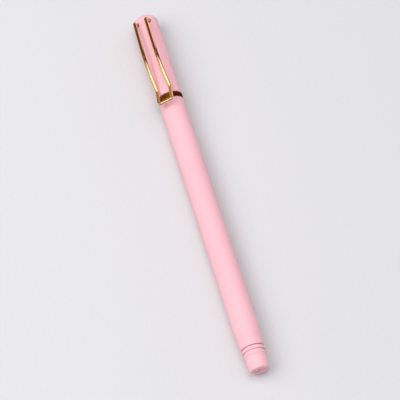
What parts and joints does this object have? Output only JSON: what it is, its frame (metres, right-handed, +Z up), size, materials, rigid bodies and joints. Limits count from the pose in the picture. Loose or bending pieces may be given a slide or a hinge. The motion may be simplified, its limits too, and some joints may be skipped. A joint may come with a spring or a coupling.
{
  "type": "capped gel pen",
  "caption": "Slim round gel pen lying on its side: push-on cap with a bent-wire clip and a metal band, grooved tail stub, screw-in grip section, refill and ball tip.",
  "frame": {"origin": "bottom centre of the bounding box, on the surface that the pen lies on", "axes": "+Y along the pen from the tail to the crown of the cap, +Z up from the surface; the clip is turned 23 degrees from +Z towards -X"},
  "size_m": [0.0108, 0.15, 0.0136],
  "materials": {
    "pink_plastic": "soft-touch matte pastel pink",
    "gold_wire": "polished gold-plated spring steel wire",
    "gold_trim": "polished gold-plated ring and cone",
    "milky_plastic": "natural unpigmented polypropylene",
    "clear_plastic": "clear polypropylene tube",
    "ink": "black gel ink",
    "grease": "pale translucent grease",
    "steel": "turned stainless steel",
    "carbide": "ground tungsten carbide",
    "seal_rubber": "soft pale silicone"
  },
  "bodies": {
    "barrel": {"barrel_tube": "pink_plastic", "centre_band": "gold_trim", "tail_plug": "pink_plastic", "tail_ring": "pink_plastic"},
    "refill": {"ink_tube": "clear_plastic", "gel_ink": "ink", "ink_follower": "grease", "tube_end_plug": "milky_plastic", "tip_holder": "milky_plastic", "writing_tip": "steel", "tip_spring": "steel"},
    "ball": {"tip_ball": "carbide"},
    "section": {"grip_section": "pink_plastic", "nose_cone": "gold_trim"},
    "ring": {"grip_ring": "seal_rubber"},
    "cap": {"cap_shell": "pink_plastic", "cap_liner": "milky_plastic", "tip_seal": "seal_rubber", "clip_anchor": "milky_plastic"},
    "clip": {"wire_clip": "gold_wire"}
  },
  "joints": [
    {"name": "section_draw", "type": "slide", "parent": "barrel", "child": "refill", "axis": [0, 1, 0], "range_m": [0, 0.009]},
    {"name": "section_turn", "type": "hinge", "parent": "refill", "child": "section", "pos_m": [0.00064, 0.033, 0.00475], "axis": [0, 1, 0], "range_deg": [0, 2160.5]},
    {"name": "cap_turn", "type": "hinge", "parent": "section", "child": "ring", "pos_m": [0.00064, 0.0414, 0.00475], "axis": [0, 1, 0], "continuous": true},
    {"name": "cap_pull", "type": "slide", "parent": "ring", "child": "cap", "axis": [0, 1, 0], "range_m": [0, 0.045]},
    {"name": "clip_flex", "type": "hinge", "parent": "cap", "child": "clip", "pos_m": [-0.00077, 0.0714, 0.00806], "axis": [-0.9205, 0, -0.3907], "range_deg": [0, 4.5], "stiffness_Nm_per_rad": 0.3},
    {"name": "ball_roll", "type": "hinge", "parent": "refill", "child": "ball", "pos_m": [0.00064, 0.0672, 0.00475], "axis": [1, 0, 0], "continuous": true}
  ],
  "couplings": [
    {"joint": "section_turn", "follows": "section_draw", "rad_per_m": 4188.8}
  ]
}
